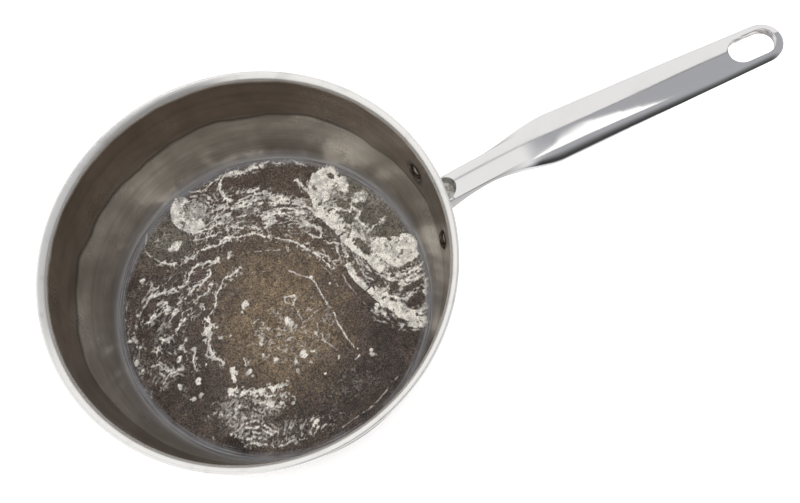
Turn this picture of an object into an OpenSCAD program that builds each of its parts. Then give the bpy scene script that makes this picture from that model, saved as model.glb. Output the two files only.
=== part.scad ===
// Round deep pan with a riveted stick handle, burnt and scaled inside.
// The origin is on the pan's axis, at the underside of its base. +Z is up and +X runs along the handle.

/* [Pan] */
// Inside diameter just below the lip
inner_d = 200; // [160:1:260]
// Inside depth, from the base to the top of the lip
inner_depth = 84; // [60:1:140]
// Outward lean of the wall, in degrees
wall_lean = 5; // [0:0.5:10]
// Thickness of the pressed sheet
sheet_t = 2.2; // [1.5:0.1:3.5]
// Inside radius of the corner between the base and the wall
corner_r = 5; // [3:0.5:14]
// Inside radius of the bend that throws the lip outward
lip_r = 4.6; // [4:0.1:7]
// Angle through which the lip turns outward
lip_turn = 68; // [45:1:85]

/* [Rivets] */
// Distance between the two rivets across the wall
rivet_spacing = 41; // [34:1:50]
// Depth of the rivets below the top of the lip
rivet_drop = 21.5; // [17:0.5:30]
// Diameter of the rivet shank
rivet_d = 6; // [4:0.5:7]
// Diameter of the rivet heads
rivet_head_d = 11; // [9:0.5:13]
// Height of the domed rivet heads
rivet_head_h = 2.2; // [1.5:0.1:3]
// Radial clearance around the rivet shank
rivet_fit = 0.05; // [0.02:0.01:0.2]

/* [Handle] */
// Reach of the handle from the outside of the wall to its tip, along X
handle_len = 177; // [140:1:230]
// Upward slope of the neck, in degrees
neck_angle = 24; // [5:1:30]
// Upward slope of the grip, in degrees
grip_angle = 12; // [0:1:25]
// Depth of the middle of the neck below the top of the lip, where it meets the wall
neck_drop = 10.6; // [9:0.1:18]
// Width of the neck
neck_w = 14.8; // [13:0.2:18]
// Thickness of the neck
neck_t = 6.4; // [6:0.2:8]
// Length of the straight neck
neck_len = 25; // [18:1:45]
// Length over which the neck flares out to the grip
flare_len = 36; // [25:1:45]
// Width of the grip at its widest
grip_w = 27.2; // [24:0.2:32]
// Thickness of the grip at its widest
grip_t = 6.6; // [6:0.2:11]
// Rise of the neck's back over its edges
neck_crown = 1.4; // [0.6:0.1:3]
// Rise of the grip's back over its edges
grip_crown = 5.2; // [2:0.1:5.6]
// Rise of the end ring's back over its edges
end_crown = 3.2; // [1:0.1:4]
// Height by which the grip's back arches over a straight line
arch = 1.3; // [0:0.1:4]
// Width of the handle at its end ring
end_w = 20.8; // [18:0.2:26]
// Thickness of the end ring
end_t = 6.4; // [5:0.2:8]
// Length of the hanging slot
slot_len = 22.8; // [18:0.2:32]
// Width of the bar left around the hanging slot
ring_bar = 3.6; // [3:0.1:5]
// Thickness of the flange that lies on the wall
flange_t = 3.4; // [2.5:0.1:4.5]
// Metal left around each rivet in the flange
flange_margin = 6; // [5:0.5:9]
// Gap between the flange and the wall
flange_gap = 0.03; // [0.01:0.01:0.2]
// Diameter of the pocket in the top of the neck at the wall
pocket_d = 12.4; // [8:0.2:13]
// How far that pocket reaches out from the wall
pocket_reach = 9; // [7:0.2:14]
// Depth of that pocket
pocket_depth = 4.2; // [2:0.2:5]

/* [Residue] */
// Thickness of the burnt film on the base
film_t = 0.3; // [0.2:0.1:0.6]
// How far the burnt film climbs the corner bend, in degrees
film_climb = 50; // [10:5:80]
// Thickness of the lime scale on the film
scale_t = 0.35; // [0.2:0.05:0.8]

/* [Hidden] */
$fn = 96;

inner_r = inner_d / 2;
pan_h = inner_depth + sheet_t;

// The lip bends about a circle outside the wall
lip_mid_r = lip_r - sheet_t / 2;
lip_centre_z = pan_h - lip_mid_r * sin(lip_turn) - sheet_t / 2;
lip_start_z = lip_centre_z + lip_r * sin(wall_lean);
corner_end_z = sheet_t + corner_r * (1 - sin(wall_lean));
corner_end_r = inner_r - (lip_start_z - corner_end_z) * tan(wall_lean);
flat_r = corner_end_r - corner_r * cos(wall_lean);

// Radius of the leaning wall at height z, on a surface that lies d outside its inner face
function wall_r(z, d = 0) = inner_r - (lip_start_z - z) * tan(wall_lean) + d / cos(wall_lean);

rivet_z = pan_h - rivet_drop;
rivet_angle = asin(rivet_spacing / 2 / wall_r(rivet_z));
flange_in = sheet_t + flange_gap;    // offsets from the wall's inner face
flange_out = flange_in + flange_t;
lobe_r = rivet_d / 2 + flange_margin;
hole_r = rivet_d / 2 + rivet_fit;
// The flat underside of the inner head touches the round wall along its two side edges
rivet_seat = sqrt(pow(wall_r(rivet_z), 2) - pow(rivet_head_d / 2, 2)) - wall_r(rivet_z);

neck_z = pan_h - neck_drop;
handle_x = wall_r(neck_z, sheet_t);  // where the handle meets the wall
bend_start = 28;                     // the handle bends from the neck's slope to the grip's
bend_len = 24;
end_r = end_w / 2;
slot_w = end_w - 2 * ring_bar;
arc_start = handle_len - end_r;      // where the straight sides meet the round end
root_len = 26;                       // length of the deeper root under the neck
root_extra = rivet_drop - neck_drop + 5; // how much deeper the root is at the wall
saddle_r = lobe_r + 3;               // the flange is taller under the neck

corner_steps = 12;                   // short faces that make up the corner bend
film_steps = round(corner_steps * film_climb / (90 - wall_lean));
scale_edge = flat_r - 0.5;           // the scale stays on the flat of the base
big = 400;                           // wider than anything it cuts
past = 30;                           // how far a cutting shape runs past the piece

section_steps = 32;                  // points round each cross-section of the handle
length_step = 6;                     // spacing of the sections along the handle
tip_steps = 9;                       // sections round the handle's end
grip_start = neck_len + flare_len;
crown_even = [0.25, 0.42, 0.30];     // share of the crown that is one even curve, at neck, grip and end
crown_rim = [12, 6, 5];              // how sharply the rest turns down near the edge
under_box = [6, 6, 2.4];             // squareness of the underside

// --- helpers -------------------------------------------------------------

function mix(a, b, t) = a + (b - a) * t;
function ease(t) = let (u = min(max(t, 0), 1)) u * u * (3 - 2 * u);

// Points along an arc of radius r round the centre c, from angle a1 to angle a2
function arc(c, r, a1, a2, steps) =
    [for (i = [0 : steps]) let (a = mix(a1, a2, i / steps)) c + r * [cos(a), sin(a)]];

// A wedge from angle a1 to angle a2, under 180 degrees wide
module wedge(a1, a2) {
    mid = (a1 + a2) / 2;
    polygon([[0, 0],
             big * [cos(a1), sin(a1)],
             big * 1.5 * [cos(mid), sin(mid)],
             big * [cos(a2), sin(a2)]]);
}

// Part of a flat ring, from angle a1 to angle a2
module ring_part(r_in, r_out, a1, a2) {
    intersection() {
        difference() {
            circle(r = r_out);
            circle(r = r_in);
        }
        wedge(a1, a2);
    }
}

// --- pan -----------------------------------------------------------------

// The pan's half section, as one outline: up the inner face, over the lip and down the outer face
module pan_profile() {
    corner = [flat_r, sheet_t + corner_r];
    lip = [inner_r + lip_r * cos(wall_lean), lip_centre_z];
    lip_end = 180 - lip_turn;
    edge = lip + lip_mid_r * [cos(lip_end), sin(lip_end)];
    polygon(concat(
        [[0, sheet_t]],
        arc(corner, corner_r, -90, -wall_lean, corner_steps),
        arc(lip, lip_r, 180 - wall_lean, lip_end, 14),
        arc(edge, sheet_t / 2, lip_end, lip_end - 180, 10),
        arc(lip, lip_r - sheet_t, lip_end, 180 - wall_lean, 10),
        arc(corner, corner_r + sheet_t, -wall_lean, -90, 14),
        [[0, 0]]));
}

// A solid cone that fills the pan out to the surface lying d outside the wall's inner face
module wall_core(d) {
    z1 = pan_h + past;
    translate([0, 0, -1])
        cylinder(h = z1 + 1, r1 = wall_r(-1, d), r2 = wall_r(z1, d), $fn = 180);
}

// Something placed on a rivet's line: X points out through the wall, from the wall's inner face
module at_rivet(side) {
    rotate([0, 0, side * rivet_angle]) translate([wall_r(rivet_z), 0, rivet_z])
        rotate([0, wall_lean, 0]) children();
}

module rivet_hole(side) {
    at_rivet(side) translate([-past / 2, 0, 0]) rotate([0, 90, 0])
        cylinder(h = past, r = hole_r, $fn = 48);
}

module pan_body() {
    color([0.62, 0.59, 0.56]) difference() {
        rotate_extrude($fn = 180) pan_profile();
        for (side = [-1, 1]) rivet_hole(side);
    }
}

// --- rivets --------------------------------------------------------------

// Half of a domed head's section, flat side on the X axis
module dome_profile() {
    dome_r = (pow(rivet_head_d / 2, 2) + pow(rivet_head_h, 2)) / (2 * rivet_head_h);
    intersection() {
        translate([0, rivet_head_h - dome_r]) circle(r = dome_r);
        square([rivet_head_d, rivet_head_h + 1]);
    }
}

// Half of a rivet's section: X is the radius and Y the distance out from the wall's inner face
module rivet_profile() {
    translate([0, rivet_seat]) mirror([0, 1]) dome_profile();
    translate([0, rivet_seat - rivet_head_h / 2])
        square([rivet_d / 2, flange_out - rivet_seat + rivet_head_h]);
    translate([0, flange_out]) dome_profile();
}

module rivet(side) {
    color([0.45, 0.42, 0.38])
        at_rivet(side) rotate([0, 90, 0]) rotate_extrude() rivet_profile();
}

// --- handle --------------------------------------------------------------

// Half width of the handle at a distance s from the wall
function half_w(s) =
    s > arc_start ? sqrt(max(pow(end_r, 2) - pow(s - arc_start, 2), 0.01))
    : s < neck_len + flare_len ? mix(neck_w, grip_w, ease((s - neck_len) / flare_len)) / 2
    : mix(grip_w, end_w, (s - neck_len - flare_len) / (arc_start - neck_len - flare_len)) / 2;

// How far a place lies along the grip, from its widest point to the hanging slot
function grip_share(s) = min(max((s - grip_start) / (arc_start - slot_len - grip_start), 0), 1);

// A value that eases from the neck's to the grip's over the flare, and to the end's over the grip
function along(s, v) =
    s < grip_start ? mix(v[0], v[1], ease((s - neck_len) / flare_len)) : mix(v[1], v[2], ease(grip_share(s)));

// Height of the handle's back: the neck's slope eases into the grip's along the bend, with a low arch
function back_z(s) =
    let (u = min(max((s - bend_start) / bend_len, 0), 1),
         bent = bend_len * (pow(u, 3) - pow(u, 4) / 2) + max(s - bend_start - bend_len, 0),
         rise = s < grip_start ? ease((s - neck_len) / flare_len) : 1 - pow(grip_share(s), 2))
    neck_z + neck_t / 2 + s * tan(neck_angle) + bent * (tan(grip_angle) - tan(neck_angle)) + arch * rise;

stations = concat(
    [-3],
    [for (s = [0 : length_step : arc_start - 1]) s],
    [for (i = [0 : tip_steps]) arc_start + end_r * sin(i * 88 / tip_steps)]);

// A cross-section: a crowned back over a flat underside, which runs deeper at the root
function section(s) =
    let (w = half_w(s),
         crown = along(s, [neck_crown, grip_crown, end_crown]),
         side = back_z(s) - crown,
         low = along(s, [neck_t, grip_t, end_t]) - crown + root_extra * pow(1 - min(max(s, 0) / root_len, 1), 2),
         even = along(s, crown_even), rim = along(s, crown_rim), box = along(s, under_box))
    [for (i = [0 : section_steps - 1])
        let (a = 360 * i / section_steps,
             y = w * cos(a),
             edge = s > arc_start ? min(1, norm([s - arc_start, y]) / end_r) : abs(cos(a)),
             back = crown * (1 - even * pow(edge, 2) - (1 - even) * pow(edge, rim)),
             under = low * pow(max(1 - pow(edge, box), 0), 1 / box))
        [handle_x + s, y, side + (sin(a) > 0 ? back : -under)]];

module handle_bar() {
    n = section_steps;
    last = len(stations) - 1;
    polyhedron(
        points = [for (s = stations) each section(s)],
        faces = concat(
            [[for (i = [0 : n - 1]) i]],
            [for (k = [0 : last - 1]) for (i = [0 : n - 1])
                let (a = k * n + i, b = k * n + (i + 1) % n) each [[a, a + n, b], [b, a + n, b + n]]],
            [[for (i = [n - 1 : -1 : 0]) last * n + i]]));
}

// The hanging slot, cut square to the handle's slope, from straight walls and two true half-round ends
module hanging_slot() {
    run = slot_len - slot_w;
    translate([handle_x + arc_start, 0, back_z(arc_start) - end_t / 2])
        rotate([0, -grip_angle, 0]) {
            for (x = [-run, 0]) translate([x, 0, 0]) cylinder(h = 4 * end_t, d = slot_w, center = true);
            translate([-run, -slot_w / 2, -2 * end_t]) cube([run, slot_w, 4 * end_t]);
        }
}

// The plate that lies on the wall: two lobes round the rivets and a saddle under the neck
module flange() {
    lobe_y = wall_r(rivet_z, flange_out) * sin(rivet_angle);
    intersection() {
        difference() {
            wall_core(flange_out);
            wall_core(flange_in);
        }
        translate([0, 0, rivet_z]) rotate([0, 90, 0]) linear_extrude(height = inner_d) {
            for (side = [-1, 1]) translate([0, side * lobe_y]) circle(r = lobe_r);
            square([2 * (lobe_r - 1), 2 * lobe_y], center = true);
            circle(r = saddle_r);
        }
    }
}

// The unpolished pocket in the top of the root, open towards the wall
module pocket() {
    round_x = pocket_reach - pocket_d / 2;
    translate([handle_x, 0, back_z(0) - pocket_depth]) {
        translate([round_x, 0, 0]) cylinder(h = past, d = pocket_d, $fn = 64);
        translate([-past, -pocket_d / 2, 0]) cube([past + round_x, pocket_d, past]);
    }
}

module handle() {
    color([0.80, 0.80, 0.82]) difference() {
        union() {
            handle_bar();
            flange();
        }
        wall_core(flange_in);
        hanging_slot();
        pocket();
        for (side = [-1, 1]) rivet_hole(side);
    }
}

// --- residue -------------------------------------------------------------

// A thin skin on the base that follows the first faces of the corner bend
module burnt_film() {
    corner = [flat_r, sheet_t + corner_r];
    film_end = -90 + (90 - wall_lean) * film_steps / corner_steps;
    color([0.27, 0.22, 0.18]) rotate_extrude($fn = 180)
        polygon(concat(
            [[0, sheet_t]],
            arc(corner, corner_r, -90, film_end, film_steps),
            arc(corner, corner_r - film_t, film_end, -90, film_steps),
            [[0, sheet_t + film_t]]));
}

// A bow of scale: part of a ring of width w round the centre c
module scale_bow(c, r, w, a1, a2) {
    translate(c) ring_part(r - w / 2, r + w / 2, a1, a2);
}

// A round patch of scale
module scale_patch(c, d) {
    translate(c) circle(d = d);
}

module lime_scale() {
    k = scale_edge / 88;             // the marks spread with the base
    color([0.80, 0.78, 0.72]) translate([0, 0, sheet_t + film_t]) linear_extrude(height = scale_t)
        intersection() {
            circle(r = scale_edge, $fn = 180);
            scale([k, k]) {
                scale_bow([287, 69], 241, 8, 178, 209);    // long bow beside the handle
                scale_patch([80, 2], 22);
                scale_patch([57, 57], 24);
                scale_bow([80, 4], 22, 2, 200, 330);
                scale_bow([78, 0], 32, 2.5, 225, 300);
                scale_bow([-30, 72], 11, 5, 90, 260);      // spiral at the far side
                scale_bow([0, 0], 83, 2.5, 55, 95);        // rim of scale under the far wall
                scale_bow([-4, -6], 41, 2.5, 135, 200);    // bow left of the middle
                scale_bow([10, 40], 98, 2.5, 236, 254);    // ridge at the near left
                scale_bow([-5, -60], 107, 2, 68, 118);     // veins across the far half
                scale_bow([0, -40], 98, 2, 62, 112);
            }
        }
}

pan_body();
handle();
rivet(1);  // rivet_left
rivet(-1);  // rivet_right
burnt_film();
lime_scale();
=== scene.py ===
import math
import bpy
import bmesh
import numpy as np
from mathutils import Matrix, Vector, noise


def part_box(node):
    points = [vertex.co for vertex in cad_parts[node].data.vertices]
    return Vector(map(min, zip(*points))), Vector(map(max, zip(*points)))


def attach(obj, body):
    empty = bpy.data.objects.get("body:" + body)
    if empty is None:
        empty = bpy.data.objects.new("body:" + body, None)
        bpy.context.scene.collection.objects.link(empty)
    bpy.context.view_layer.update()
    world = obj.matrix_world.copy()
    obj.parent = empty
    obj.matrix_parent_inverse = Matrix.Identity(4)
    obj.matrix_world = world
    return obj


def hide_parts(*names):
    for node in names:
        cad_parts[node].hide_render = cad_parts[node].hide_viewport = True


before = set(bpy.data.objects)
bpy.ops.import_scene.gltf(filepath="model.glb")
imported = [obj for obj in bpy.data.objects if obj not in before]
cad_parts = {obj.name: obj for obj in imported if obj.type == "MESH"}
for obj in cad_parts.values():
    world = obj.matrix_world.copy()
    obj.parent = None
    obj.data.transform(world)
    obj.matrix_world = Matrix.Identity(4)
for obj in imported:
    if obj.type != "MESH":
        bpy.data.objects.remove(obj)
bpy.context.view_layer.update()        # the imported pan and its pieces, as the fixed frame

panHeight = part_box("pan_body")[1].z
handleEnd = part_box("handle")[1].x
mm = 0.001

view = {
    "spot": (0.03138, -0.14593, 0.4584),
    "turn": (18.789, 0.943, -20.844),     # degrees
    "lens": 36.0,
    "sensor": 36.0,
    "nearest": 0.01,
}


def addToScene(name, data):
    thing = bpy.data.objects.new(name, data)
    bpy.context.scene.collection.objects.link(thing)
    return thing


def makeCamera():
    data = bpy.data.cameras.new("camera")
    data.lens = view["lens"]
    data.sensor_width = view["sensor"]
    data.clip_start = view["nearest"]
    camera = addToScene("camera", data)
    camera.location = view["spot"]
    camera.rotation_euler = [math.radians(a) for a in view["turn"]]
    bpy.context.scene.camera = camera


# The surroundings are lit areas. Each pair is the X, Y or Z of direction where an area starts,
# and where it is full.
studio = {
    "floorSize": 2.4,
    "floorColor": (0.88, 0.88, 0.88, 1),
    "floorLift": 0.45,           # how much of the floor's white is its own, for the camera
    "floorInSteel": 0.1,         # the share of that which reflections see
    "white": 0.95,               # pale surroundings behind the pan and to its left
    "grey": 0.46,                # ceiling
    "dark": 0.05,                # the unlit side of the room, in front of the table
    "frontY": (-0.45, -0.97),
    "leftX": (-0.12, -0.34),
    "whiteFrom": 0.40,           # where the white behind the pan starts
    "whiteSoft": 0.004,
    "edgeSharp": 70.0,           # sharpness of the thin dark edge that it ends in
    "edgeDark": 0.8,
    "softboxWhite": 1.5,
    "softboxMiddle": -0.03,      # the soft box is a tent shape: X and Y of its peak, and its two slopes
    "softboxTop": 0.33,
    "softboxSlopes": (-2.4, 4.5),
    "softboxEdge": (-0.05, 0.12),
    "softboxY": (-0.30, -0.22),
    "softboxZ": (0.6, 0.8),
    "tint": [(0.0, (1, 1, 1)), (0.48, (0.955, 0.96, 1.0)), (0.9, (1.0, 0.985, 0.965))],
    "sway": 0.03,                # how far the white's edge wanders
    "fill": 0.60,                # light that the surroundings give to dull surfaces
    "lampSpot": (0.1, -0.1, 1.5),
    "lampAim": (0.08, 0, 0.08),  # about the middle of the pan and its handle
    "lampSize": 0.6,
    "lampPower": 13,
}


def deselectAll():
    if bpy.context.object and bpy.context.object.mode != "OBJECT":
        bpy.ops.object.mode_set(mode="OBJECT")
    bpy.ops.object.select_all(action="DESELECT")


class Tree:
    # short hand for wiring nodes
    def __init__(self, tree):
        self.tree = tree

    def node(self, kind, **sockets):
        n = self.tree.nodes.new("ShaderNode" + kind)
        for key, value in sockets.items():
            self.put(n, key, value)
        return n

    def put(self, n, key, value):
        socket = n.inputs[int(key)] if key.isdigit() else n.inputs[key]
        if isinstance(value, bpy.types.NodeSocket):
            self.tree.links.new(value, socket)
        else:
            socket.default_value = value

    def math(self, operation, a, b=0.0, c=0.0, clamp=False):
        n = self.tree.nodes.new("ShaderNodeMath")
        n.operation = operation
        n.use_clamp = clamp
        for i, value in enumerate((a, b, c)):
            self.put(n, str(i), value)
        return n.outputs[0]

    def add(self, a, b):
        return self.math("ADD", a, b)

    def sub(self, a, b):
        return self.math("SUBTRACT", a, b)

    def mul(self, a, b):
        return self.math("MULTIPLY", a, b)

    def toward(self, a, b, share):
        # a, drawn towards b
        return self.add(a, self.mul(share, self.sub(b, a)))

    def length(self, a, b):
        return self.math("SQRT", self.add(self.mul(a, a), self.mul(b, b)))

    def vector(self, operation, a, b):
        n = self.tree.nodes.new("ShaderNodeVectorMath")
        n.operation = operation
        self.put(n, "0", a)
        self.put(n, "1", b)
        return n.outputs["Value" if operation == "DISTANCE" else "Vector"]

    def group(self, tree, **sockets):
        n = self.tree.nodes.new("ShaderNodeGroup")
        n.node_tree = tree
        for key, value in sockets.items():
            self.put(n, key, value)
        return n.outputs

    def ramp(self, fac, stops):
        n = self.tree.nodes.new("ShaderNodeValToRGB")
        while len(n.color_ramp.elements) < len(stops):
            n.color_ramp.elements.new(0.5)
        for element, (place, color) in zip(n.color_ramp.elements, stops):
            element.position = place
            element.color = (*color, 1)
        self.put(n, "Fac", fac)
        return n.outputs["Color"]

    def mix(self, fac, a, b, blend="MIX"):
        n = self.tree.nodes.new("ShaderNodeMix")
        n.data_type = "RGBA"
        n.blend_type = blend
        for key, value in (("0", fac), ("6", a), ("7", b)):
            self.put(n, key, value)
        return n.outputs[2]

    def cover(self, tone, mask, color, share=1.0):
        # lays a colour over the tone, at a share of the mask's strength
        return self.mix(mask if share == 1.0 else self.mul(mask, share), tone, color)

    def shade(self, tone, by):
        return self.mix(1.0, tone, by, "MULTIPLY")

    def noise(self, vector, scale, detail=3.0, roughness=0.5, distortion=0.0):
        n = self.node("TexNoise", Vector=vector, Scale=scale, Detail=detail,
                      Roughness=roughness, Distortion=distortion)
        return n.outputs["Fac"]

    def sway(self, amount, vector, scale, detail=3.0, roughness=0.5):
        # noise about zero
        return self.mul(self.sub(self.noise(vector, scale, detail, roughness), 0.5), amount)

    def smooth(self, value, low, high):
        n = self.tree.nodes.new("ShaderNodeMapRange")
        n.interpolation_type = "SMOOTHSTEP"
        for key, v in zip(("Value", "From Min", "From Max"), (value, low, high)):
            self.put(n, key, v)
        return n.outputs["Result"]


def newMaterial(name):
    material = bpy.data.materials.new(name)
    material.use_nodes = True
    material.node_tree.nodes.clear()
    return material


def makeFloor():
    deselectAll()
    bpy.ops.mesh.primitive_plane_add(size=studio["floorSize"], location=(0, 0, 0))
    floor = bpy.context.object
    floor.name = "floor"
    material = newMaterial("floorPaper")
    t = Tree(material.node_tree)
    path = t.node("LightPath").outputs
    seen = t.math("MAXIMUM", path["Is Camera Ray"], path["Is Transmission Ray"])
    seen = t.add(seen, t.mul(path["Is Glossy Ray"], studio["floorInSteel"]))
    paper = t.node("BsdfDiffuse", Color=studio["floorColor"])
    own = t.node("Emission", Color=(1, 1, 1, 1), Strength=t.mul(seen, studio["floorLift"]))
    both = t.node("AddShader")
    t.put(both, "0", paper.outputs[0])
    t.put(both, "1", own.outputs[0])
    t.node("OutputMaterial", Surface=both.outputs[0])
    floor.data.materials.append(material)


def makeWorld():
    world = bpy.data.worlds.new("studio")
    bpy.context.scene.world = world
    world.use_nodes = True
    world.node_tree.nodes.clear()
    t = Tree(world.node_tree)
    way = t.node("TexCoord").outputs["Generated"]
    x, y, z = t.node("SeparateXYZ", Vector=way).outputs
    path = t.node("LightPath").outputs
    # ceiling, darker towards the front of the room
    seen = t.add(t.mul(t.smooth(y, *studio["frontY"]), studio["dark"] - studio["grey"]), studio["grey"])
    # pale to the left, and a soft box overhead
    seen = t.toward(seen, studio["white"], t.smooth(x, *studio["leftX"]))
    offMiddle = t.sub(x, studio["softboxMiddle"])
    droop = t.math("MAXIMUM", *[t.mul(offMiddle, slope) for slope in studio["softboxSlopes"]])
    top = t.sub(t.sub(studio["softboxTop"], droop), y)
    glow = t.mul(t.smooth(top, *studio["softboxEdge"]), t.smooth(y, *studio["softboxY"]))
    glow = t.mul(glow, t.smooth(z, *studio["softboxZ"]))
    seen = t.toward(seen, studio["softboxWhite"], glow)
    # white behind the pan, ending in a thin dark edge that sways a little
    depth = t.add(y, t.sway(studio["sway"], way, 4.0, 1.0))
    start, soft = studio["whiteFrom"], studio["whiteSoft"]
    seen = t.toward(seen, studio["white"], t.smooth(depth, start - soft, start + soft))
    off = t.math("ABSOLUTE", t.sub(depth, start))
    edge = t.math("SUBTRACT", 1.0, t.mul(off, studio["edgeSharp"]), clamp=True)
    seen = t.mul(seen, t.sub(1.0, t.mul(edge, studio["edgeDark"])))
    light = t.add(t.mul(t.sub(seen, studio["fill"]), path["Is Glossy Ray"]), studio["fill"])
    # greys are a little cool and whites a little warm, but what the camera sees is plain white
    tint = t.mix(path["Is Camera Ray"], t.ramp(seen, studio["tint"]), (1, 1, 1, 1))
    back = t.node("Background", Color=tint, Strength=t.math("MAXIMUM", light, path["Is Camera Ray"]))
    t.node("OutputWorld", Surface=back.outputs[0])


def makeLamp():
    data = bpy.data.lights.new("softbox", "AREA")
    data.shape = "DISK"
    data.size = studio["lampSize"]
    data.energy = studio["lampPower"]
    lamp = addToScene("softbox", data)
    lamp.location = studio["lampSpot"]
    aim = Vector(studio["lampAim"]) - Vector(studio["lampSpot"])
    lamp.rotation_euler = aim.to_track_quat("-Z", "Y").to_euler()
    lamp.visible_glossy = False       # the world's soft box stands for it in reflections


makeCamera()
makeFloor()
makeWorld()
makeLamp()
print("studio ready")


def select(obj):
    deselectAll()
    obj.select_set(True)
    bpy.context.view_layer.objects.active = obj


def openEdit(kind=None):
    # edit mode with everything selected
    bpy.ops.object.mode_set(mode="EDIT")
    if kind:
        bpy.ops.mesh.select_mode(type=kind)
    bpy.ops.mesh.select_all(action="SELECT")


def closeEdit():
    bpy.ops.object.mode_set(mode="OBJECT")


def editVertices(obj, chosen):
    # opens edit mode with just the chosen vertices selected
    select(obj)
    openEdit("VERT")
    bpy.ops.mesh.select_all(action="DESELECT")
    closeEdit()
    obj.data.vertices.foreach_set("select", chosen)
    bpy.ops.object.mode_set(mode="EDIT")


def faceOutwards():
    bpy.ops.mesh.select_all(action="SELECT")
    bpy.ops.mesh.normals_make_consistent(inside=False)


def bevelSharp(angle, width, segments):
    bpy.ops.mesh.select_all(action="DESELECT")
    bpy.ops.mesh.edges_select_sharp(sharpness=math.radians(angle))
    bpy.ops.mesh.bevel(offset=width, segments=segments, affect="EDGES")


def applyPlace():
    bpy.ops.object.transform_apply(location=True, rotation=True, scale=True)


def applyModifier(obj, kind, **settings):
    step = obj.modifiers.new("step", kind)
    for key, value in settings.items():
        setattr(step, key, value)
    bpy.ops.object.modifier_apply(modifier="step")


def finishPiece(obj, name, node, materials=(), smoothAngle=None):
    select(obj)
    obj.name = name
    obj.data.name = name
    for material in materials:
        obj.data.materials.append(material)
    if smoothAngle is None:
        bpy.ops.object.shade_smooth()
    else:
        bpy.ops.object.shade_smooth_by_angle(angle=math.radians(smoothAngle))
    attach(obj, "root")
    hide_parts(node)


def pullRings(rings):
    # extrudes the selected ring through a list of radius and height, which starts with where it is
    for (wasRadius, wasHeight), (radius, height) in zip(rings, rings[1:]):
        bpy.ops.mesh.extrude_region_move(TRANSFORM_OT_translate={"value": (0, 0, height - wasHeight)})
        k = radius / wasRadius
        bpy.ops.transform.resize(value=(k, k, 1), center_override=(0, 0, height))


def turnRings(rings, corners):
    # a round shape through rings of radius and height, closed at the first and open at the last
    deselectAll()
    bpy.ops.mesh.primitive_circle_add(vertices=corners, radius=rings[0][0], fill_type="NGON",
                                      location=(0, 0, rings[0][1]))
    openEdit("EDGE")
    bpy.ops.mesh.region_to_loop()
    pullRings(rings)
    return bpy.context.object


def arcPoints(centre, radius, start, end, steps):
    # points of a bend in the pan's half section, after its first point
    turns = [math.radians(start + (end - start) * i / steps) for i in range(1, steps + 1)]
    return [(centre[0] + radius * math.cos(a), centre[1] + radius * math.sin(a)) for a in turns]


shell = {
    "segments": 192,
    "sheet": 2.2 * mm,
    "corner": 5 * mm,        # inside radius of the bend at the base
    "lean": 5,               # degrees
    "lip": 4.6 * mm,         # inside radius of the lip's bend
    "lipTurn": 68,           # degrees
    "inner": 100 * mm,       # inside radius just under the lip
    "dents": 0.10 * mm,      # waviness of the pressed wall
    "dentScale": 26,
    "below": 0.03 * mm,      # how far the lip stays under the frame's top
    "lipEdge": 0.47,         # the round edge that the lip ends in, in sheets
    "rounding": 0.46,        # bevel of the sheet's cut edge, in sheets
    "bendSteps": 12,
    "wallSteps": 14,
    "lipSteps": 14,
}
lean = math.radians(shell["lean"])


def shellPlan():
    # heights and radii that the shell, the film and the rivets share
    sheet, corner, lip = shell["sheet"], shell["corner"], shell["lip"]
    lipRise = (lip - sheet / 2) * math.sin(math.radians(shell["lipTurn"]))
    lipZ = panHeight - lipRise - sheet / 2 - shell["below"]
    lipStart = lipZ + lip * math.sin(lean)
    cornerEnd = sheet + corner * (1 - math.sin(lean))
    cornerRadius = shell["inner"] - (lipStart - cornerEnd) * math.tan(lean)
    return {"lipZ": lipZ, "lipStart": lipStart, "cornerEnd": cornerEnd,
            "flat": cornerRadius - corner * math.cos(lean)}


plan = shellPlan()


def wallRadius(height, out=0.0):
    return shell["inner"] - (plan["lipStart"] - height) * math.tan(lean) + out / math.cos(lean)


def makeShell():
    sheet, corner, lip = shell["sheet"], shell["corner"], shell["lip"]
    rings = [(plan["flat"], sheet)]
    rings += arcPoints((plan["flat"], sheet + corner), corner, -90, -shell["lean"], shell["bendSteps"])
    wallHeight = plan["lipStart"] - plan["cornerEnd"]
    for i in range(1, shell["wallSteps"] + 1):
        height = plan["cornerEnd"] + wallHeight * i / shell["wallSteps"]
        rings.append((wallRadius(height), height))
    lipCentre = (shell["inner"] + lip * math.cos(lean), plan["lipZ"])
    rings += arcPoints(lipCentre, lip, 180 - shell["lean"], 180 - shell["lipTurn"], shell["lipSteps"])
    turn = math.radians(90 - shell["lipTurn"])
    edge = sheet * shell["lipEdge"]
    rings.append((rings[-1][0] + edge * math.cos(turn), rings[-1][1] + edge * math.sin(turn)))
    pan = turnRings(rings, shell["segments"])
    closeEdit()
    applyPlace()

    # the pressed wall is not quite round
    for v in pan.data.vertices:
        reach = math.hypot(v.co.x, v.co.y)
        upWall = (v.co.z - plan["cornerEnd"]) / wallHeight
        if 0 < upWall < 1:
            spot = Vector((v.co.x, v.co.y, v.co.z * 1.6)) * shell["dentScale"]
            push = noise.noise(spot) * shell["dents"] * min(1, 5 * upWall, 5 * (1 - upWall))
            v.co.x *= 1 + push / reach
            v.co.y *= 1 + push / reach

    applyModifier(pan, "SOLIDIFY", thickness=sheet, offset=-1, use_even_offset=True)
    bpy.ops.object.mode_set(mode="EDIT")
    bevelSharp(50, sheet * shell["rounding"], 5)
    closeEdit()
    return pan


rivet = {
    "spacing": 41 * mm,
    "drop": 21.5 * mm,
    "shank": 3 * mm,
    "head": 5.5 * mm,
    "dome": 2.2 * mm,
    "domeSteps": 9,
    "segments": 40,
    "soft": 0.3 * mm,         # roundness of its edges
    "flange": 5.63 * mm,      # the handle's flange ends this far out from the wall's inner face
}
rivetHeight = panHeight - rivet["drop"]


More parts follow.
